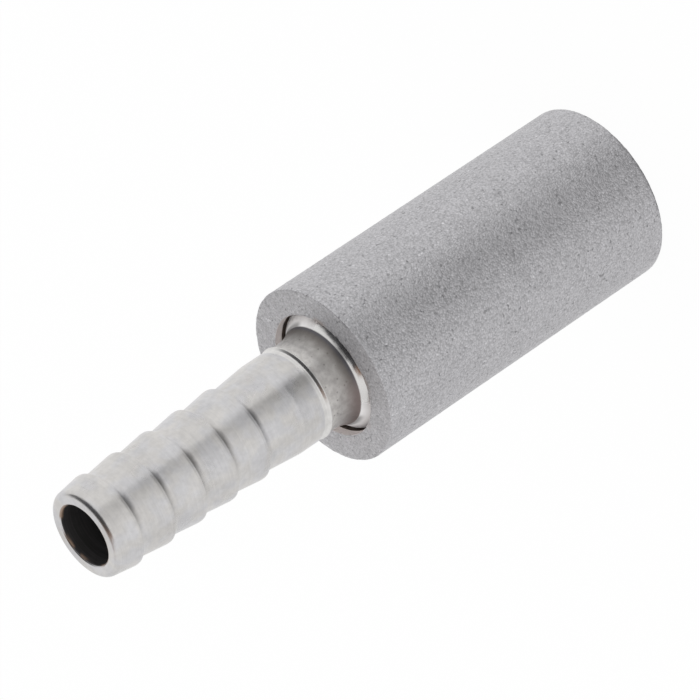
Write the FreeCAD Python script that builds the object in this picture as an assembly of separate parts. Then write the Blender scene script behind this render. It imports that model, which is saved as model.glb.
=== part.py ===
import FreeCAD, Part
import math
import os

# Carbonation stone: a porous sintered cup with a turned hose barb pressed into its open end.
# Z is the common axis. It is 0 on the cup's closed end, where the stone stands, and the barb's tip is on top.
# Lengths are in millimetres and angles in degrees.

# Porous cup, outside
STONE_DIAMETER = 12.7
STONE_LENGTH = 25.4
CLOSED_END_EDGE_RADIUS = 0.3

# Porous cup, inside: the mouth, a relief behind it, a seat for the stem's plug, a ledge that the plug
# bottoms on, and the gas cavity. The mouth and the seat share one diameter.
SEAT_DIAMETER = 8.85
SEAT_DEPTH = 6.2
MOUTH_LENGTH = 0.6
RELIEF_LENGTH = 0.7
RELIEF_DEPTH = 0.225
LEDGE_WIDTH = 0.45
CAVITY_CORNER_CHAMFER = 1.2
CLOSED_END_THICKNESS = 3.2

# Bore through the whole stem
STEM_BORE_DIAMETER = 4.4
BORE_MOUTH_CHAMFER = 0.1

# Hose barb, from the tip down
TIP_STEP = 0.265
TIP_EDGE_RADIUS = 0.3
BARB_DIAMETER = 6.75
BARB_HEIGHT = 0.325
BARB_COUNT = 5
BARB_PITCH = 2.745
FIRST_CREST_FROM_TIP = 2.06
CREST_LAND = 0.2
BARB_ROOT_CHAMFER = 0.25

# Shoulder, and at its end a shallow groove whose lower flank flares out into the rim
SHOULDER_RAMP_LENGTH = 3.2
SHOULDER_LENGTH = 1.556
GROOVE_DEPTH = 0.11
GROOVE_LEAD = 0.11
GROOVE_FLOOR_LENGTH = 0.31
GROOVE_RAMP = 0.22
RIM_PROUD = 0.055
RIM_LAND = 0.09

# Neck, one step in under the rim, which sweeps out in a long cove to the plug's edge below the cup's face
NECK_STEP = 0.13
NECK_LENGTH = 0.89
COVE_RADIUS = 3.07
LIP_SINK = 0.89

# Plug inside the cup
PLUG_CLEARANCE = 0.02
PLUG_LEAD_CHAMFER = 0.15

# A root chamfer takes at most this share of the barb's height
LARGEST_ROOT_SHARE = 0.8

stone_radius = STONE_DIAMETER / 2
seat_radius = SEAT_DIAMETER / 2
cavity_radius = seat_radius - LEDGE_WIDTH
bore_radius = STEM_BORE_DIAMETER / 2
barb_radius = BARB_DIAMETER / 2
root_radius = barb_radius - BARB_HEIGHT
relief_radius = seat_radius + RELIEF_DEPTH
plug_radius = seat_radius - PLUG_CLEARANCE
groove_radius = barb_radius - GROOVE_DEPTH
rim_radius = barb_radius + RIM_PROUD
neck_radius = rim_radius - NECK_STEP

# The cove turns through this angle between the neck and the plug's edge
cove_angle = math.degrees(math.acos(1 - (plug_radius - neck_radius) / COVE_RADIUS))

# Heights, from the plug's seat up to the tip
ledge_z = STONE_LENGTH - SEAT_DEPTH
mouth_z = STONE_LENGTH - MOUTH_LENGTH
relief_z = mouth_z - RELIEF_LENGTH
lip_z = STONE_LENGTH - LIP_SINK
cove_z = lip_z + COVE_RADIUS * math.sin(math.radians(cove_angle))
rim_z = cove_z + NECK_LENGTH
groove_ramp_z = rim_z + RIM_LAND
groove_floor_z = groove_ramp_z + GROOVE_RAMP
groove_lead_z = groove_floor_z + GROOVE_FLOOR_LENGTH
shoulder_foot_z = groove_lead_z + GROOVE_LEAD
shoulder_z = shoulder_foot_z + SHOULDER_LENGTH
last_crest_z = shoulder_z + SHOULDER_RAMP_LENGTH
first_crest_z = last_crest_z + (BARB_COUNT - 1) * BARB_PITCH
tip_z = first_crest_z + FIRST_CREST_FROM_TIP
crest_heights = [first_crest_z - i * BARB_PITCH for i in range(BARB_COUNT)]


def point(radius, z):
    return FreeCAD.Vector(radius, 0, z)


def polyline(points):
    return [Part.LineSegment(a, b).toShape() for a, b in zip(points, points[1:])]


def swung(start, centre, sweep):
    """A profile point carried round a centre by an angle, positive from outwards to upwards."""
    arm = start - centre
    turn = math.radians(sweep)
    radius = arm.x * math.cos(turn) - arm.z * math.sin(turn)
    height = arm.x * math.sin(turn) + arm.z * math.cos(turn)
    return centre + point(radius, height)


def arc(start, centre, sweep):
    middle = swung(start, centre, sweep / 2)
    return Part.Arc(start, middle, swung(start, centre, sweep)).toShape()


def revolve(edges):
    """A solid turned about Z from a closed profile."""
    face = Part.Face(Part.Wire(edges))
    return face.revolve(FreeCAD.Vector(0, 0, 0), FreeCAD.Vector(0, 0, 1), 360)


def rings(solid, radius, z):
    """The circular edges of a turned solid at one radius and height."""
    near = 1e-4
    return [
        edge
        for edge in solid.Edges
        if isinstance(edge.Curve, Part.Circle)
        and abs(edge.Curve.Radius - radius) < near
        and abs(edge.Curve.Center.z - z) < near
    ]


def porous_stone():
    """Sintered cup: plain outside, and inside a mouth with a relief, a seat, a ledge and a bevelled cavity."""
    outline = [
        point(0, 0),
        point(stone_radius, 0),
        point(stone_radius, STONE_LENGTH),
        point(seat_radius, STONE_LENGTH),
        point(seat_radius, mouth_z),
        point(relief_radius, mouth_z),
        point(relief_radius, relief_z),
        point(seat_radius, relief_z),
        point(seat_radius, ledge_z),
        point(cavity_radius, ledge_z),
        point(cavity_radius, CLOSED_END_THICKNESS),
        point(0, CLOSED_END_THICKNESS),
        point(0, 0),
    ]
    cup = revolve(polyline(outline))
    cup = cup.makeFillet(CLOSED_END_EDGE_RADIUS, rings(cup, stone_radius, 0))
    return cup.makeChamfer(CAVITY_CORNER_CHAMFER, rings(cup, cavity_radius, CLOSED_END_THICKNESS))


def barb_edges():
    """Profile from the bore's mouth over the tip and the saw-tooth crests to the shoulder's foot."""
    points = [
        point(bore_radius + BORE_MOUTH_CHAMFER, tip_z),
        point(barb_radius - TIP_STEP, tip_z),
    ]
    for crest_z in crest_heights:
        points.append(point(barb_radius, crest_z + CREST_LAND))
        points.append(point(barb_radius, crest_z))
        points.append(point(root_radius, crest_z))
    points.append(point(barb_radius, shoulder_z))
    points.append(point(barb_radius, shoulder_foot_z))
    return polyline(points)


def neck_edges():
    """Profile from the shoulder's foot through the groove, the rim, the neck and the cove to the plug's edge."""
    neck_foot = point(neck_radius, cove_z)
    groove_and_rim = [
        point(barb_radius, shoulder_foot_z),
        point(groove_radius, groove_lead_z),
        point(groove_radius, groove_floor_z),
        point(rim_radius, groove_ramp_z),
        point(rim_radius, rim_z),
        point(neck_radius, rim_z),
        neck_foot,
    ]
    return [*polyline(groove_and_rim), arc(neck_foot, neck_foot + point(COVE_RADIUS, 0), cove_angle)]


def plug_edges():
    """Profile from the plug's edge down to the ledge, and back up the bore."""
    return polyline(
        [
            point(plug_radius, lip_z),
            point(plug_radius, ledge_z + PLUG_LEAD_CHAMFER),
            point(plug_radius - PLUG_LEAD_CHAMFER, ledge_z),
            point(bore_radius, ledge_z),
            point(bore_radius, tip_z - BORE_MOUTH_CHAMFER),
            point(bore_radius + BORE_MOUTH_CHAMFER, tip_z),
        ]
    )


def barb_stem():
    """Turned stem: hose barb, shoulder, groove, rim, neck, cove and plug, bored right through."""
    stem = revolve(barb_edges() + neck_edges() + plug_edges())
    stem = stem.makeFillet(TIP_EDGE_RADIUS, rings(stem, barb_radius - TIP_STEP, tip_z))
    roots = [ring for crest_z in crest_heights for ring in rings(stem, root_radius, crest_z)]
    return stem.makeChamfer(min(BARB_ROOT_CHAMFER, LARGEST_ROOT_SHARE * BARB_HEIGHT), roots)


os.makedirs("parts", exist_ok=True)
porous_stone().exportStep("parts/porous_stone.step")
barb_stem().exportStep("parts/barb_stem.step")
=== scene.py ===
import math
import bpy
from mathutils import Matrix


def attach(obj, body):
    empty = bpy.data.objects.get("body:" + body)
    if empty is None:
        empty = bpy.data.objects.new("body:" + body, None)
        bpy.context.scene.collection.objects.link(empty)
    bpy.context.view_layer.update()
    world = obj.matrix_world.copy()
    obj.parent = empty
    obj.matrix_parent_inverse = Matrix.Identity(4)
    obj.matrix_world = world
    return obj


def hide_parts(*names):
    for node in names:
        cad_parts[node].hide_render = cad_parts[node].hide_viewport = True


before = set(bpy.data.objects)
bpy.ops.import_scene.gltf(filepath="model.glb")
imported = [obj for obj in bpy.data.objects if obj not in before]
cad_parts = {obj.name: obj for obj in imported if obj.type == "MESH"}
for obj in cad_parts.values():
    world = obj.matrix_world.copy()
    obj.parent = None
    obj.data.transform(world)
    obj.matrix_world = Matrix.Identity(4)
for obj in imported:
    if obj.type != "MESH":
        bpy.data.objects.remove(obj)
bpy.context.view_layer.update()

from types import SimpleNamespace

import bpy
from mathutils import Matrix, Vector, noise

# Lengths are in millimetres, heights are from the stone's closed end, and angles are in degrees
MM = 0.001

# Stone
STONE_RADIUS = 6.35
STONE_LENGTH = 25.4
SEAT_RADIUS = 4.425
MOUTH_FOOT = 24.8
RELIEF_RADIUS = 4.65
RELIEF_FOOT = 24.1
LEDGE_HEIGHT = 19.2
CAVITY_RADIUS = 3.975
CAVITY_FLOOR = 3.2
CAVITY_BEVEL = 1.2

# Stem, from the tip down
BORE_RADIUS = 2.2
BORE_CHAMFER = 0.1
TIP_HEIGHT = 46.284
TIP_STEP = 0.265
BARB_RADIUS = 3.375
BARB_COUNT = 5
BARB_PITCH = 2.745
FIRST_CREST = 44.225
CREST_LAND = 0.2
ROOT_RADIUS = 3.05
ROOT_RISE = 0.14
ROOT_FLOOR_RISE = 0.045
ROOT_LENGTH = 0.35
SHOULDER_TOP = 30.045
SHOULDER_FOOT = 28.489
GROOVE_RADIUS = 3.265
GROOVE_STEP = 0.015
GROOVE_FOOT = 28.014
RIM_RADIUS = 3.43
RIM_TOP = 27.849
RIM_FOOT = 27.759
NECK_RADIUS = 3.3
COVE_CORNER = 25.431
COVE_RADIUS = 3.03
PLUG_RADIUS = 4.405
PLUG_CHAMFER = 0.15
LIP_HEIGHT = 24.51

# Edge roundings
SHARP_EDGE = 0.03
EASED_EDGE = 0.05
TIP_EDGE = 0.36
LAND_EDGE = 0.4
CREST_EDGE = 0.025
ROOT_CORNER = 0.08
ROOT_SWEEP = 0.9
SHOULDER_SWEEP = 1.5
SHOULDER_EDGE = 0.02
GROOVE_SWEEP = 0.15
RIM_EDGE = 0.04
PLUG_EDGE = 0.04
CAVITY_CORNER = 0.1
FACE_EDGE = 0.06
CLOSED_END_EDGE = 0.3

# Meshes: segments round, the turn from step to step in a rounding, and the spacing of rings
STEM_SEGMENTS = 288
STEM_BEND = 7.5
STEM_SPACING = 0.9
STONE_SEGMENTS = 384
STONE_BEND = 20
FACE_SPACING = 0.12
SIDE_SPACING = 0.18
CLOSED_END_SPACING = 0.35
HIDDEN_SPACING = 1.0
NEAR = 0.01

# Grain pressed into the stone, as waves per millimetre and depth, and chips along its edges
GRAIN_WAVES = [(1.4, 0.008), (4.5, 0.022), (9.0, 0.012)]
CHIP_WAVES = 3.1
CHIP_DEPTH = 0.04
CHIP_REACH = 0.25
CHIP_SHIFT = Vector((17, 3, 9))


# Camera, from the object's outline in the photograph. Its clipping distances are in metres.
PICTURE = 700
SENSOR = 36.0
FOCAL_PIXELS = 6023.0
TIP_PIXEL = (84.0, 536.0)
TIP_DEPTH = 380.4
AXIS_TILT = 60.03
AXIS_TURN = 33.91
CLIP_START = 0.01
CLIP_END = 20


def place_camera():
    """The camera looks down at the standing object by 30 degrees, rolled as in the photograph."""
    tilt = math.radians(AXIS_TILT)
    turn = math.radians(AXIS_TURN)
    down = Vector((math.sin(tilt) * math.cos(turn), math.sin(tilt) * math.sin(turn), -math.cos(tilt)))
    up = -down
    sight = Vector((0, 0, -1))
    away = (sight - sight.dot(up) * up).normalized()
    side = away.cross(up)
    scale = TIP_DEPTH / FOCAL_PIXELS
    across = (TIP_PIXEL[0] - PICTURE / 2) * scale
    above = (PICTURE / 2 - TIP_PIXEL[1]) * scale
    origin = Vector((across, above, -TIP_DEPTH)) + down * TIP_HEIGHT
    turned = Matrix((side, away, up))
    data = bpy.data.cameras.new("camera")
    data.sensor_width = SENSOR
    data.lens = FOCAL_PIXELS / PICTURE * SENSOR
    data.clip_start = CLIP_START
    data.clip_end = CLIP_END
    camera = bpy.data.objects.new("camera", data)
    bpy.context.scene.collection.objects.link(camera)
    camera.matrix_world = Matrix.Translation(turned @ -origin * MM) @ turned.to_4x4()
    bpy.context.scene.camera = camera


# Node trees

def add(tree, kind, inputs=None, **settings):
    """A node with its settings, and its inputs linked or set."""
    node = tree.nodes.new(kind)
    for name, value in settings.items():
        setattr(node, name, value)
    for key, value in (inputs or {}).items():
        if isinstance(value, bpy.types.NodeSocket):
            tree.links.new(value, node.inputs[key])
        else:
            node.inputs[key].default_value = value
    return node


def calc(tree, operation, a, b):
    return add(tree, "ShaderNodeMath", {0: a, 1: b}, operation=operation).outputs[0]


def product(tree, first, *others):
    for other in others:
        first = calc(tree, "MULTIPLY", first, other)
    return first


def total(tree, first, *others):
    for other in others:
        first = calc(tree, "ADD", first, other)
    return first


def largest(tree, first, *others):
    for other in others:
        first = calc(tree, "MAXIMUM", first, other)
    return first


def remainder(tree, share):
    return calc(tree, "SUBTRACT", 1.0, share)


def ramp(tree, value, span, start, end):
    """A number that eases from start to end as the value goes through the span."""
    inputs = {0: value, 1: span[0], 2: span[1], 3: start, 4: end}
    return add(tree, "ShaderNodeMapRange", inputs, interpolation_type="SMOOTHSTEP").outputs[0]


def rising(tree, value, span):
    """0 before the span and 1 past it."""
    return ramp(tree, value, span, 0.0, 1.0)


def falling(tree, value, span):
    """1 before the span and 0 past it."""
    return ramp(tree, value, span, 1.0, 0.0)


def varied(tree, value, span, spread):
    """A factor that strays from 1 by the spread, down at the span's start and up at its end."""
    return ramp(tree, value, span, 1 - spread, 1 + spread)


def blend(tree, share, a, b, mode="MIX"):
    inputs = {0: share, 6: a, 7: b}
    return add(tree, "ShaderNodeMix", inputs, data_type="RGBA", blend_type=mode).outputs[2]


def tinted(tree, colour, level):
    """The colour times the level."""
    return blend(tree, 1.0, colour, level, "MULTIPLY")


def grey(level):
    return (level, level, level, 1.0)


def waves(tree, place, scale, detail, roughness=0.5):
    """Noise from 0 to 1, with its scale in waves per millimetre."""
    inputs = {"Vector": place, "Scale": scale, "Detail": detail, "Roughness": roughness}
    return add(tree, "ShaderNodeTexNoise", inputs).outputs[0]


def cells(tree, place, scale):
    """Grains or pits, with their scale in cells per millimetre."""
    return add(tree, "ShaderNodeTexVoronoi", {"Vector": place, "Scale": scale}).outputs


def stretched(tree, place, factors):
    """The place with X, Y and Z each times its factor."""
    return add(tree, "ShaderNodeVectorMath", {0: place, 1: factors}, operation="MULTIPLY").outputs[0]


def surface(name):
    """A material with its tree and shader, and each point's place, height and distance from the axis."""
    material = bpy.data.materials.new(name)
    material.use_nodes = True
    tree = material.node_tree
    tree.nodes.clear()
    shader = add(tree, "ShaderNodeBsdfPrincipled")
    add(tree, "ShaderNodeOutputMaterial", {0: shader.outputs[0]})
    metres = add(tree, "ShaderNodeTexCoord").outputs["Object"]
    place = stretched(tree, metres, (1 / MM, 1 / MM, 1 / MM))
    x, y, height = add(tree, "ShaderNodeSeparateXYZ", {0: place}).outputs
    flat = add(tree, "ShaderNodeCombineXYZ", {0: x, 1: y}).outputs[0]
    reach = add(tree, "ShaderNodeVectorMath", {0: flat}, operation="LENGTH").outputs["Value"]
    return SimpleNamespace(
        material=material, tree=tree, shader=shader, place=place, x=x, y=y, height=height, reach=reach
    )


def finish(at, colour, rough, relief, strength, depth, matt):
    """Give the shader its looks. The bump follows the relief, and matt is the share that isn't metal."""
    bump = add(at.tree, "ShaderNodeBump", {"Strength": strength, "Distance": depth * MM, "Height": relief})
    looks = {
        "Base Color": colour,
        "Roughness": rough,
        "Normal": bump.outputs[0],
        "Metallic": remainder(at.tree, matt),
    }
    for name, value in looks.items():
        at.tree.links.new(value, at.shader.inputs[name])


# Middle part and broad part of a noise's range
MIDDLE = (0.3, 0.7)
BROAD = (0.25, 0.75)


# Sintered metal: scales, with detail and roughness for waves
GRAIN_SCALE = 7.0
POWDER = (9.0, 3.0, 0.6)
DRIFT = (0.6, 2.0)
PATCHES = (0.35, 1.0)

# Sintered metal: colours and shares
SINTERED = (0.536, 0.53, 0.546, 1.0)
HEAT_STAIN = (0.42, 0.32, 0.26, 1.0)
HEAT_SHARE = 0.5
# Painted light: the wall in the hole's mouth is made pale and warm tinted
PAINTED_LIGHT_WALL = (0.93, 0.85, 0.82, 1.0)
PAINTED_LIGHT_WALL_SHARE = 0.85
# Painted shade: dark colour in the hole below its mouth, the recess included
PAINTED_SHADE_DEEP = (0.2, 0.16, 0.14, 1.0)
GRAIN_SPREAD = 0.09
POWDER_SPREAD = 0.08
DRIFT_SPREAD = 0.02
PORE_LEVEL = 0.78
PAINTED_GLINT_LEVEL = 1.22
SPECK_LEVEL = 0.62
ROUGHEST = 0.56
SMOOTHEST = 0.42
FACE_MATT = 0.45

# Sintered metal: spans of a grain's random tone, of the way out from its middle, and of the noises
ANY_TONE = (0.0, 1.0)
PAINTED_GLINT_TONE = (0.975, 0.99)
SPECK_TONE = (0.012, 0.02)
PORE_EDGE = (0.45, 0.85)
PATCH_EDGE = (0.5, 0.62)
ROUGHNESS_SPAN = (0.2, 0.8)

# Sintered metal: spans of height or of distance from the axis
FACE_TOP = (STONE_LENGTH - 0.05, STONE_LENGTH - 0.02)
HEAT_RING = (SEAT_RADIUS + 0.1, SEAT_RADIUS + 0.45)
HOLE_EDGE = (SEAT_RADIUS + 0.02, SEAT_RADIUS + 0.06)
DEEP_EDGE = (RELIEF_RADIUS + 0.1, RELIEF_RADIUS + 0.2)
DEEP_TOP = (MOUTH_FOOT - 0.02, MOUTH_FOOT + 0.06)
DEEP_FOOT = (1.0, 2.0)

# Sintered metal: domed grains and the bump that follows them
GRAIN_DOME = (0.0, 0.9)
GRAIN_DOME_HEIGHT = 0.6
GRAIN_BUMP = 0.45
GRAIN_BUMP_DEPTH = 0.05


def sintered_metal():
    """Fused powder: grains with dark pores, a few painted glints and heat stains, painted light on the hole's
    mouth wall, and painted shade deeper in.
    """
    at = surface("sintered_metal")
    tree = at.tree
    grains = cells(tree, at.place, GRAIN_SCALE)
    tone = add(tree, "ShaderNodeSeparateXYZ", {0: grains["Color"]}).outputs
    powder = waves(tree, at.place, *POWDER)

    level = product(
        tree,
        varied(tree, tone[0], ANY_TONE, GRAIN_SPREAD),
        ramp(tree, grains["Distance"], PORE_EDGE, 1.0, PORE_LEVEL),
        varied(tree, powder, BROAD, POWDER_SPREAD),
        varied(tree, waves(tree, at.place, *DRIFT), MIDDLE, DRIFT_SPREAD),
        # Painted glints: a few grains made lighter in the colour
        ramp(tree, tone[1], PAINTED_GLINT_TONE, 1.0, PAINTED_GLINT_LEVEL),
        ramp(tree, tone[2], SPECK_TONE, SPECK_LEVEL, 1.0),
    )
    colour = tinted(tree, SINTERED, level)

    on_face = rising(tree, at.height, FACE_TOP)
    ring = falling(tree, at.reach, HEAT_RING)
    patches = rising(tree, waves(tree, at.place, *PATCHES), PATCH_EDGE)
    colour = blend(tree, product(tree, on_face, ring, patches, HEAT_SHARE), colour, HEAT_STAIN)
    # Painted light on the wall inside the hole, which is also matt
    inside = falling(tree, at.reach, HOLE_EDGE)
    colour = blend(tree, product(tree, inside, PAINTED_LIGHT_WALL_SHARE), colour, PAINTED_LIGHT_WALL)
    # Painted shade in the hole below the mouth. The same share is also matt.
    shaded_deep = product(
        tree,
        falling(tree, at.reach, DEEP_EDGE),
        falling(tree, at.height, DEEP_TOP),
        rising(tree, at.height, DEEP_FOOT),
    )
    colour = blend(tree, shaded_deep, colour, PAINTED_SHADE_DEEP)

    rough = ramp(tree, powder, ROUGHNESS_SPAN, ROUGHEST, SMOOTHEST)
    relief = total(tree, powder, ramp(tree, grains["Distance"], GRAIN_DOME, GRAIN_DOME_HEIGHT, 0.0))
    matt = largest(tree, inside, shaded_deep, product(tree, on_face, FACE_MATT))
    finish(at, colour, rough, relief, GRAIN_BUMP, GRAIN_BUMP_DEPTH, matt)
    return at.material


# Turned steel: scales, with detail and roughness for waves. The lathe lines are stretched round the axis.
LATHE_STRETCH = (0.25, 0.25, 9.0)
LINES = (1.0, 3.0, 0.6)
CLOUD = (0.55, 3.0, 0.55)
TINT = (0.8, 1.0)
MOTTLE = (2.6, 3.0, 0.6)
SWELL = (1.2, 2.0)
PIT_SCALE = 2.2

# Turned steel: the dull neck ends in the cove at this height, and the lip starts
LIP_TOP = 25.43

# Turned steel: spans of height, of distance from the axis, and of X and Y
LIP_START = (LIP_TOP - 0.05, LIP_TOP + 0.05)
RIM_START = (RIM_FOOT - 0.03, RIM_FOOT + 0.03)
RIM_END = (SHOULDER_FOOT - 0.24, SHOULDER_FOOT - 0.17)
OUTSIDE = (BORE_RADIUS + 0.1, BORE_RADIUS + 0.2)
BORE_WALL = (BORE_RADIUS + 0.03, BORE_RADIUS + 0.06)
FROSTED_AND_LIT_EDGE = (PLUG_RADIUS - 0.48, PLUG_RADIUS - 0.3)
FROSTED_AND_LIT_BACK = (-2.9, -1.6)
# Painted shade: a band along the lip's inner side, away from the front
PAINTED_LIP_SHADE_EDGE = (PLUG_RADIUS - 0.72, PLUG_RADIUS - 0.45)
PAINTED_LIP_SHADE_BACK = (-1.4, -0.7)
HEATED_END = (LIP_TOP + 0.15, LIP_TOP + 1.7)
SCALE_RISE = (LIP_TOP + 0.05, LIP_TOP + 0.35)
SCALE_SIDE = (-2.6, -0.6)
DARKER_SIDE = (-0.6, 0.2)
TIP_RISE = (TIP_HEIGHT - 0.3, TIP_HEIGHT - 0.12)
TIP_RING = (BORE_RADIUS + 0.09, BORE_RADIUS + 0.15)

# Turned steel: spans of the textures
TINT_SPAN = (0.35, 0.65)
TIP_STAIN_SPAN = (0.42, 0.58)
PIT_EDGE = (0.08, 0.19)
WHOLE = (0.0, 1.0)

# Turned steel: colours
SATIN_COOL = (0.585, 0.58, 0.59, 1.0)
SATIN_WARM = (0.6, 0.585, 0.57, 1.0)
RIM_STEEL = (0.71, 0.7, 0.685, 1.0)
LIP_STEEL = (0.66, 0.65, 0.64, 1.0)
# Painted light on the lip's frosted part, and painted shade along its inner side
PAINTED_LIP_LIGHT = (0.93, 0.92, 0.92, 1.0)
PAINTED_LIP_SHADE = (0.34, 0.335, 0.335, 1.0)
NECK_DARK = (0.61, 0.59, 0.57, 1.0)
NECK_PALE = (0.8, 0.78, 0.755, 1.0)
DARK_TONE = (0.16, 0.14, 0.13, 1.0)
SCALE_BLUE = (0.085, 0.083, 0.095, 1.0)
SCALE_GREY = (0.12, 0.108, 0.1, 1.0)
SCALE_BROWN = (0.19, 0.15, 0.142, 1.0)
# Painted shade: the bore's wall near black
BORE_SHADE_DARK = (0.016, 0.015, 0.015, 1.0)
BORE_SHADE_PALE = (0.036, 0.033, 0.034, 1.0)
TIP_STAIN = (0.3, 0.2, 0.14, 1.0)

# Turned steel: shares and spreads
LINE_SPREAD = 0.035
CLOUD_SPREAD = 0.05
MOTTLE_SPREAD = 0.05
DARKER_SIDE_SHARE = 0.16
PIT_SHARE = 0.5
HEATED_SHARE = 0.95
TIP_STAIN_SHARE = 0.8
FROSTED_MATT = 0.85

# Turned steel: roughness, relief and the lathe's grain
SATIN_SMOOTHEST = 0.27
SATIN_ROUGHEST = 0.33
NECK_ROUGH = 0.33
POLISHED_ROUGH = 0.14
FROSTED_ROUGH = 0.5
BORE_ROUGH = 0.5
NECK_RELIEF = 1.5
SWELL_RELIEF = 6.0
STEEL_BUMP = 0.25
STEEL_BUMP_DEPTH = 0.01
LATHE_GRAIN = 0.5
LATHE_GRAIN_TURN = 0.25


def steel_textures(at):
    """Lathe lines, clouds, slow changes of tint, pits, mottling and a shallow swell."""
    tree = at.tree
    return SimpleNamespace(
        lines=waves(tree, stretched(tree, at.place, LATHE_STRETCH), *LINES),
        cloud=waves(tree, at.place, *CLOUD),
        tint=waves(tree, at.place, *TINT),
        pits=cells(tree, at.place, PIT_SCALE)["Distance"],
        mottle=waves(tree, at.place, *MOTTLE),
        swell=waves(tree, at.place, *SWELL),
    )


def steel_zones(at):
    """The shares of neck, rim with its groove, lip, frosted part of the lip, which carries painted light and
    shade, and bore.
    """
    tree = at.tree
    outside = rising(tree, at.reach, OUTSIDE)
    lip = product(tree, falling(tree, at.height, LIP_START), outside)
    lit_frosting = largest(tree, rising(tree, at.reach, FROSTED_AND_LIT_EDGE), rising(tree, at.y, FROSTED_AND_LIT_BACK))
    return SimpleNamespace(
        neck=product(tree, rising(tree, at.height, LIP_START), falling(tree, at.height, RIM_START), outside),
        rim=product(tree, rising(tree, at.height, RIM_START), falling(tree, at.height, RIM_END), outside),
        lip=lip,
        frosted_and_lit=product(tree, lip, lit_frosting),
        bore=falling(tree, at.reach, BORE_WALL),
    )


def neck_colour(at, texture):
    """Dull and mottled with small pits, darker towards one side, and covered with dark scale in the cove."""
    tree = at.tree
    colour = blend(tree, rising(tree, texture.mottle, MIDDLE), NECK_DARK, NECK_PALE)
    # Darker towards negative X
    colour = blend(tree, ramp(tree, at.x, DARKER_SIDE, DARKER_SIDE_SHARE, 0.0), colour, DARK_TONE)
    colour = blend(tree, ramp(tree, texture.pits, PIT_EDGE, PIT_SHARE, 0.0), colour, DARK_TONE)
    scale = blend(tree, rising(tree, at.height, SCALE_RISE), SCALE_BLUE, SCALE_GREY)
    scale = blend(tree, falling(tree, at.x, SCALE_SIDE), scale, SCALE_BROWN)
    heated = product(tree, falling(tree, at.height, HEATED_END), HEATED_SHARE)
    return blend(tree, heated, colour, scale)


def frosted_and_lit_colour(at):
    """Painted light: nearly white, with a band of painted shade along the inner side, away from the front."""
    tree = at.tree
    # Painted shade on the inner side of the lip
    lip_shade = product(tree, falling(tree, at.reach, PAINTED_LIP_SHADE_EDGE), rising(tree, at.y, PAINTED_LIP_SHADE_BACK))
    return blend(tree, lip_shade, PAINTED_LIP_LIGHT, PAINTED_LIP_SHADE)


def steel_colour(at, texture, zone):
    """Each zone's colour, over satin steel, and a brown stain round the bore's mouth."""
    tree = at.tree
    level = product(
        tree,
        varied(tree, texture.lines, BROAD, LINE_SPREAD),
        varied(tree, texture.cloud, MIDDLE, CLOUD_SPREAD),
        varied(tree, texture.mottle, MIDDLE, MOTTLE_SPREAD),
    )
    satin = blend(tree, rising(tree, texture.tint, TINT_SPAN), SATIN_COOL, SATIN_WARM)
    colour = blend(tree, zone.neck, tinted(tree, satin, level), neck_colour(at, texture))
    colour = blend(tree, zone.rim, colour, tinted(tree, RIM_STEEL, level))
    colour = blend(tree, zone.lip, colour, LIP_STEEL)
    # Painted light and shade on the frosted part of the lip
    colour = blend(tree, zone.frosted_and_lit, colour, frosted_and_lit_colour(at))
    # Painted shade inside the bore, near black with the lathe lines
    bore_shade = blend(tree, rising(tree, texture.lines, MIDDLE), BORE_SHADE_DARK, BORE_SHADE_PALE)
    colour = blend(tree, zone.bore, colour, bore_shade)
    stain = product(
        tree,
        rising(tree, at.height, TIP_RISE),
        falling(tree, at.reach, TIP_RING),
        rising(tree, texture.tint, TIP_STAIN_SPAN),
        TIP_STAIN_SHARE,
    )
    return blend(tree, stain, colour, TIP_STAIN)


def steel_roughness(at, texture, zone):
    """Satin steel, with the roughness of each zone over it."""
    tree = at.tree
    rough = ramp(tree, texture.cloud, MIDDLE, SATIN_SMOOTHEST, SATIN_ROUGHEST)
    rough = blend(tree, zone.neck, rough, grey(NECK_ROUGH))
    rough = blend(tree, zone.lip, rough, ramp(tree, zone.frosted_and_lit, WHOLE, POLISHED_ROUGH, FROSTED_ROUGH))
    return blend(tree, zone.bore, rough, grey(BORE_ROUGH))


def turned_steel():
    """Satin barb, dull and scaled neck, lip polished in front and frosted behind with painted light and
    shade, and bore painted near black as shade.
    """
    at = surface("turned_steel")
    tree = at.tree
    texture = steel_textures(at)
    zone = steel_zones(at)
    relief = total(
        tree,
        texture.lines,
        product(tree, zone.neck, texture.mottle, NECK_RELIEF),
        product(tree, texture.swell, SWELL_RELIEF),
    )
    matt = largest(tree, product(tree, zone.frosted_and_lit, FROSTED_MATT), zone.bore)
    colour = steel_colour(at, texture, zone)
    finish(at, colour, steel_roughness(at, texture, zone), relief, STEEL_BUMP, STEEL_BUMP_DEPTH, matt)
    tangent = add(tree, "ShaderNodeTangent", direction_type="RADIAL", axis="Z")
    tree.links.new(tangent.outputs[0], at.shader.inputs["Tangent"])
    at.shader.inputs["Anisotropic"].default_value = LATHE_GRAIN
    at.shader.inputs["Anisotropic Rotation"].default_value = LATHE_GRAIN_TURN
    return at.material


# Turned shapes

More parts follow.
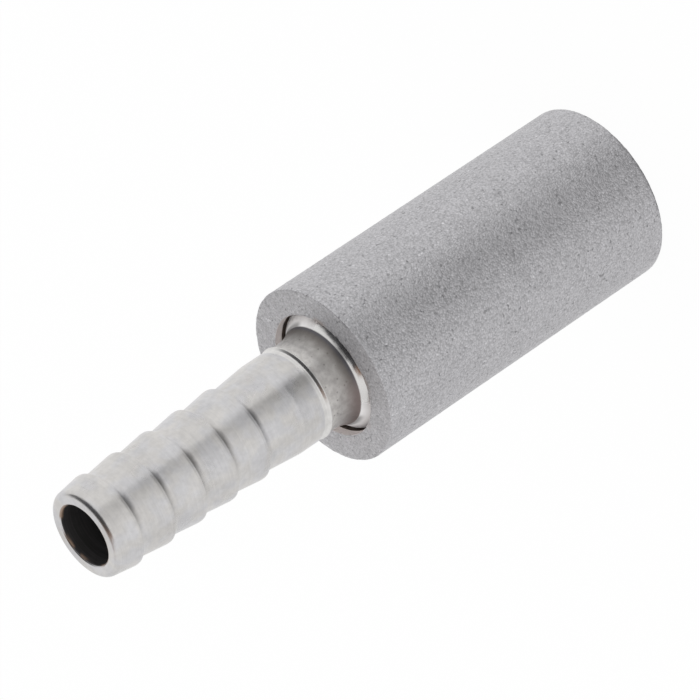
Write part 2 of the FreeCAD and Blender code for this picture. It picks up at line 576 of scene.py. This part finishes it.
def rounded(corners, bend):
    """Profile through corners (radius, height, rounding): each point with its outward normal.

    The profile is followed with the material on its right, so its start and end have no rounding. Bend is the
    largest turn from one point of a rounding to the next.
    """
    corners = [(Vector((r, z)), rounding) for r, z, rounding in corners]
    profile = []
    for i, (corner, rounding) in enumerate(corners):
        before = (corner - corners[i - 1][0]).normalized() if i else None
        after = (corners[i + 1][0] - corner).normalized() if i + 1 < len(corners) else None
        if before is None or after is None:
            run = after or before
            profile.append((corner, Vector((-run.y, run.x))))
            continue
        turn = math.atan2(before.x * after.y - before.y * after.x, before.dot(after))
        reach = rounding * math.tan(abs(turn) / 2)
        start = corner - before * reach
        swing = math.copysign(1.0, turn)
        centre = start + Vector((-before.y, before.x)) * rounding * swing
        steps = max(2, math.ceil(abs(turn) / math.radians(bend)))
        for k in range(steps + 1):
            angle = turn * k / steps
            run = Vector(
                (
                    before.x * math.cos(angle) - before.y * math.sin(angle),
                    before.x * math.sin(angle) + before.y * math.cos(angle),
                )
            )
            normal = Vector((-run.y, run.x))
            profile.append((centre - normal * rounding * swing, normal))
    return profile


def divided(profile, spacing):
    """The profile with points added along its long runs, no further apart than the spacing at their place."""
    points = [profile[0]]
    for (a, a_normal), (b, b_normal) in zip(profile, profile[1:]):
        parts = max(1, math.ceil((b - a).length / spacing((a + b) / 2)))
        for k in range(1, parts + 1):
            points.append((a.lerp(b, k / parts), a_normal.lerp(b_normal, k / parts).normalized()))
    return points


def lathe(name, profile, segments, inward=None):
    """A turned mesh and its normals, from a profile that is a loop or that starts and ends on the axis.

    Inward gives how far each point is pressed into the metal.
    """
    looped = profile[0][0] == profile[-1][0]
    vertices = []
    normals = []
    rings = []
    for place, normal in profile[:-1] if looped else profile:
        count = segments if place.x else 1
        rings.append(range(len(vertices), len(vertices) + count))
        for k in range(count):
            angle = math.tau * k / segments
            out = Vector((math.cos(angle), math.sin(angle), 0))
            point = out * place.x + Vector((0, 0, place.y))
            facing = out * normal.x + Vector((0, 0, normal.y))
            if inward:
                point = point - facing * inward(point, place)
            vertices.append(point * MM)
            normals.append(facing)
    if looped:
        rings.append(rings[0])
    faces = []
    for low, high in zip(rings, rings[1:]):
        for k in range(segments):
            following = (k + 1) % segments
            turns = ((low, k), (high, k), (high, following), (low, following))
            faces.append(tuple(dict.fromkeys(ring[turn % len(ring)] for ring, turn in turns)))
    mesh = bpy.data.meshes.new(name)
    mesh.from_pydata(vertices, [], faces)
    mesh.update()
    return mesh, normals


def place_piece(name, mesh, material, node):
    """Put a mesh into the scene in place of the solids' node."""
    mesh.materials.append(material)
    mesh.shade_smooth()
    piece = bpy.data.objects.new(name, mesh)
    bpy.context.scene.collection.objects.link(piece)
    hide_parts(node)
    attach(piece, "root")


def barb_corners(crest):
    """One saw tooth from the top of its land down to the ramp of the next."""
    return [
        (BARB_RADIUS, crest + CREST_LAND, LAND_EDGE),
        (BARB_RADIUS, crest, CREST_EDGE),
        (ROOT_RADIUS + ROOT_RISE, crest, ROOT_CORNER),
        (ROOT_RADIUS + ROOT_FLOOR_RISE, crest - ROOT_LENGTH, ROOT_SWEEP),
    ]


def stem_profile():
    """Once round the stem's section: up the bore, over the tip, down the outside and back along the plug."""
    corners = [
        (BORE_RADIUS, LEDGE_HEIGHT, 0),
        (BORE_RADIUS, TIP_HEIGHT - BORE_CHAMFER, EASED_EDGE),
        (BORE_RADIUS + BORE_CHAMFER, TIP_HEIGHT, EASED_EDGE),
        (BARB_RADIUS - TIP_STEP, TIP_HEIGHT, TIP_EDGE),
    ]
    for i in range(BARB_COUNT):
        corners += barb_corners(FIRST_CREST - i * BARB_PITCH)
    corners += [
        (BARB_RADIUS, SHOULDER_TOP, SHOULDER_SWEEP),
        (BARB_RADIUS, SHOULDER_FOOT, SHOULDER_EDGE),
        (GROOVE_RADIUS - GROOVE_STEP, SHOULDER_FOOT - GROOVE_STEP, SHARP_EDGE),
        (GROOVE_RADIUS, GROOVE_FOOT, GROOVE_SWEEP),
        (RIM_RADIUS, RIM_TOP, RIM_EDGE),
        (RIM_RADIUS, RIM_FOOT, SHARP_EDGE),
        (NECK_RADIUS, RIM_FOOT, SHARP_EDGE),
        (NECK_RADIUS, COVE_CORNER, COVE_RADIUS),
        (PLUG_RADIUS, LIP_HEIGHT, PLUG_EDGE),
        (PLUG_RADIUS, LEDGE_HEIGHT + PLUG_CHAMFER, EASED_EDGE),
        (PLUG_RADIUS - PLUG_CHAMFER, LEDGE_HEIGHT, EASED_EDGE),
        (BORE_RADIUS, LEDGE_HEIGHT, 0),
    ]
    return rounded(corners, STEM_BEND)


def make_stem(material):
    profile = divided(stem_profile(), lambda place: STEM_SPACING)
    mesh, normals = lathe("stem", profile, STEM_SEGMENTS)
    place_piece("turned_stem", mesh, material, "barb_stem")
    mesh.normals_split_custom_set_from_vertices(normals)


def grain_depth(point, place):
    """Hollows between the grains, with chips along the cup's edges."""
    edge = min(
        math.hypot(place.x - STONE_RADIUS, place.y - STONE_LENGTH),
        math.hypot(place.x - STONE_RADIUS, place.y),
        math.hypot(place.x - SEAT_RADIUS, place.y - STONE_LENGTH),
    )
    near_edge = max(0.0, 1 - edge / CHIP_REACH)
    hollow = sum(depth * (0.5 + 0.5 * noise.noise(point * scale)) for scale, depth in GRAIN_WAVES)
    return hollow + near_edge * CHIP_DEPTH * max(0.0, noise.noise(point * CHIP_WAVES + CHIP_SHIFT))


def stone_profile():
    """From the middle of the cavity's floor up to the hole's edge, and down the outside to the middle."""
    corners = [
        (0, CAVITY_FLOOR, 0),
        (CAVITY_RADIUS - CAVITY_BEVEL, CAVITY_FLOOR, CAVITY_CORNER),
        (CAVITY_RADIUS, CAVITY_FLOOR + CAVITY_BEVEL, CAVITY_CORNER),
        (CAVITY_RADIUS, LEDGE_HEIGHT, EASED_EDGE),
        (SEAT_RADIUS, LEDGE_HEIGHT, EASED_EDGE),
        (SEAT_RADIUS, RELIEF_FOOT, SHARP_EDGE),
        (RELIEF_RADIUS, RELIEF_FOOT, SHARP_EDGE),
        (RELIEF_RADIUS, MOUTH_FOOT, SHARP_EDGE),
        (SEAT_RADIUS, MOUTH_FOOT, SHARP_EDGE),
        (SEAT_RADIUS, STONE_LENGTH, EASED_EDGE),
        (STONE_RADIUS, STONE_LENGTH, FACE_EDGE),
        (STONE_RADIUS, 0, CLOSED_END_EDGE),
        (0, 0, 0),
    ]
    return rounded(corners, STONE_BEND)


def stone_spacing(place):
    """Rings lie close together where the grain shows, and far apart inside and underneath."""
    if place.y < NEAR:
        return CLOSED_END_SPACING
    if place.y < MOUTH_FOOT + NEAR and place.x < RELIEF_RADIUS + NEAR:
        return HIDDEN_SPACING
    if place.y > STONE_LENGTH - NEAR:
        return FACE_SPACING
    return SIDE_SPACING


def make_stone(material):
    mesh, _ = lathe("stone", divided(stone_profile(), stone_spacing), STONE_SEGMENTS, grain_depth)
    place_piece("sintered_stone", mesh, material, "porous_stone")


# Studio. Its spans are of the sight's share along a direction, 1 straight along it and -1 against it.
UPWARDS = (0, 0, 1)

# Studio: a dark gap low down, in front and to the right, with its turn from straight in front
GAP_TURN = -16
GAP_LEFT = (-0.36, -0.12)
GAP_RIGHT = (0.0, 0.95)
GAP_RIGHT_SHARE = 0.2
GAP_BACK = (-0.5, 0.1)
GAP_TOP_WAY = (-0.29, -0.08, 1)
GAP_TOP = (-0.5, 0.0)
GAP_SHADE = 0.66

# Studio: a darker foot straight below, a dark strip over the gap, and a faintly grey side
FOOT_LEFT = (-0.55, -0.15)
FOOT_RIGHT = (0.15, 0.5)
FOOT_TOP = (-0.82, -0.58)
FOOT_SHADE = 0.6
STRIP_RIGHT = (0.15, 0.45)
STRIP_FOOT = (0.1, 0.3)
STRIP_SHADE = 0.45
SIDE_WAY = (-0.8, 0.6, 0)
SIDE_SPAN = (0.35, 0.75)
SIDE_SHADE = 0.1

# Studio: a dark area overhead, which turns brown towards its start
OVERHEAD_WAY = (1, -0.27, 0)
OVERHEAD_START = (-0.56, -0.26)
OVERHEAD_END = (0.9, 1.0)
OVERHEAD_BACK = (0.45, 0.8)
OVERHEAD_RISE_WAY = (0.06, 0, 1)
OVERHEAD_RISE = (0.43, 0.555)
BROWN_END = (-0.32, 0.02)
BROWN = (0.27, 0.155, 0.1, 1.0)
BLACK = (0.06, 0.06, 0.065, 1.0)

# Studio: floor, in metres
FLOOR_HALF = 2.0
FLOOR_HEIGHT = -0.00002
FLOOR_GREY = 0.9
FLOOR_WHITE_SHARE = 0.96


def along(tree, sight, way):
    """How far the sight goes along a direction."""
    return add(tree, "ShaderNodeVectorMath", {0: sight, 1: way}, operation="DOT_PRODUCT").outputs["Value"]


def studio_level(tree, sight):
    """How bright the studio is: 1, but for the gap, its foot, the strip over it and the side."""
    gap = math.radians(GAP_TURN)
    across = along(tree, sight, (-math.cos(gap), math.sin(gap), 0))
    left = rising(tree, across, GAP_LEFT)
    front = rising(tree, along(tree, sight, (-math.sin(gap), -math.cos(gap), 0)), GAP_BACK)
    up = along(tree, sight, UPWARDS)
    dark_gap = product(
        tree,
        left,
        ramp(tree, across, GAP_RIGHT, 1.0, GAP_RIGHT_SHARE),
        front,
        falling(tree, along(tree, sight, GAP_TOP_WAY), GAP_TOP),
        GAP_SHADE,
    )
    foot = product(
        tree,
        rising(tree, across, FOOT_LEFT),
        falling(tree, across, FOOT_RIGHT),
        ramp(tree, up, FOOT_TOP, FOOT_SHADE, 0.0),
    )
    strip = product(
        tree,
        left,
        falling(tree, across, STRIP_RIGHT),
        front,
        ramp(tree, up, STRIP_FOOT, 0.0, STRIP_SHADE),
    )
    side = ramp(tree, along(tree, sight, SIDE_WAY), SIDE_SPAN, 0.0, SIDE_SHADE)
    return product(tree, *(remainder(tree, shade) for shade in (dark_gap, foot, strip, side)))


def studio_colour(tree, sight):
    """White, but for the dark area overhead."""
    x, y, _ = add(tree, "ShaderNodeSeparateXYZ", {0: sight}).outputs
    lean = along(tree, sight, OVERHEAD_WAY)
    overhead = product(
        tree,
        rising(tree, lean, OVERHEAD_START),
        falling(tree, x, OVERHEAD_END),
        falling(tree, y, OVERHEAD_BACK),
        rising(tree, along(tree, sight, OVERHEAD_RISE_WAY), OVERHEAD_RISE),
    )
    return blend(tree, overhead, grey(1.0), blend(tree, rising(tree, lean, BROWN_END), BROWN, BLACK))


def studio_world():
    """Plain white light, in which only reflections show the studio's dark areas."""
    world = bpy.data.worlds.new("studio")
    world.use_nodes = True
    tree = world.node_tree
    tree.nodes.clear()
    bpy.context.scene.world = world
    sight = add(tree, "ShaderNodeTexCoord").outputs["Generated"]
    studio = tinted(tree, studio_colour(tree, sight), studio_level(tree, sight))
    reflected = add(tree, "ShaderNodeLightPath").outputs["Is Glossy Ray"]
    colour = blend(tree, reflected, grey(1.0), studio)
    background = add(tree, "ShaderNodeBackground", {"Color": colour, "Strength": 1.0})
    add(tree, "ShaderNodeOutputWorld", {0: background.outputs[0]})


def floor_material():
    """Pale grey in other light, and nearly white to the camera, to reflections and through glass."""
    material = bpy.data.materials.new("floor")
    material.use_nodes = True
    tree = material.node_tree
    tree.nodes.clear()
    matt = add(tree, "ShaderNodeBsdfDiffuse", {"Color": grey(FLOOR_GREY)})
    glow = add(tree, "ShaderNodeEmission", {"Color": grey(1.0), "Strength": 1.0})
    path = add(tree, "ShaderNodeLightPath").outputs
    seen = largest(tree, path["Is Camera Ray"], path["Is Glossy Ray"], path["Is Transmission Ray"])
    share = product(tree, seen, FLOOR_WHITE_SHARE)
    mixed = add(tree, "ShaderNodeMixShader", {0: share, 1: matt.outputs[0], 2: glow.outputs[0]})
    add(tree, "ShaderNodeOutputMaterial", {0: mixed.outputs[0]})
    return material


def make_floor():
    """A pale floor that shows the object's soft shadow."""
    square = [(-1, -1), (1, -1), (1, 1), (-1, 1)]
    corners = [(x * FLOOR_HALF, y * FLOOR_HALF, FLOOR_HEIGHT) for x, y in square]
    mesh = bpy.data.meshes.new("floor")
    mesh.from_pydata(corners, [], [(0, 1, 2, 3)])
    mesh.materials.append(floor_material())
    floor = bpy.data.objects.new("floor", mesh)
    bpy.context.scene.collection.objects.link(floor)
    floor.visible_glossy = False
    floor.visible_shadow = False
    floor.visible_diffuse = False


bpy.context.scene.view_settings.view_transform = "Standard"
place_camera()
studio_world()
make_floor()
make_stone(sintered_metal())
make_stem(turned_steel())

bpy.context.view_layer.update()
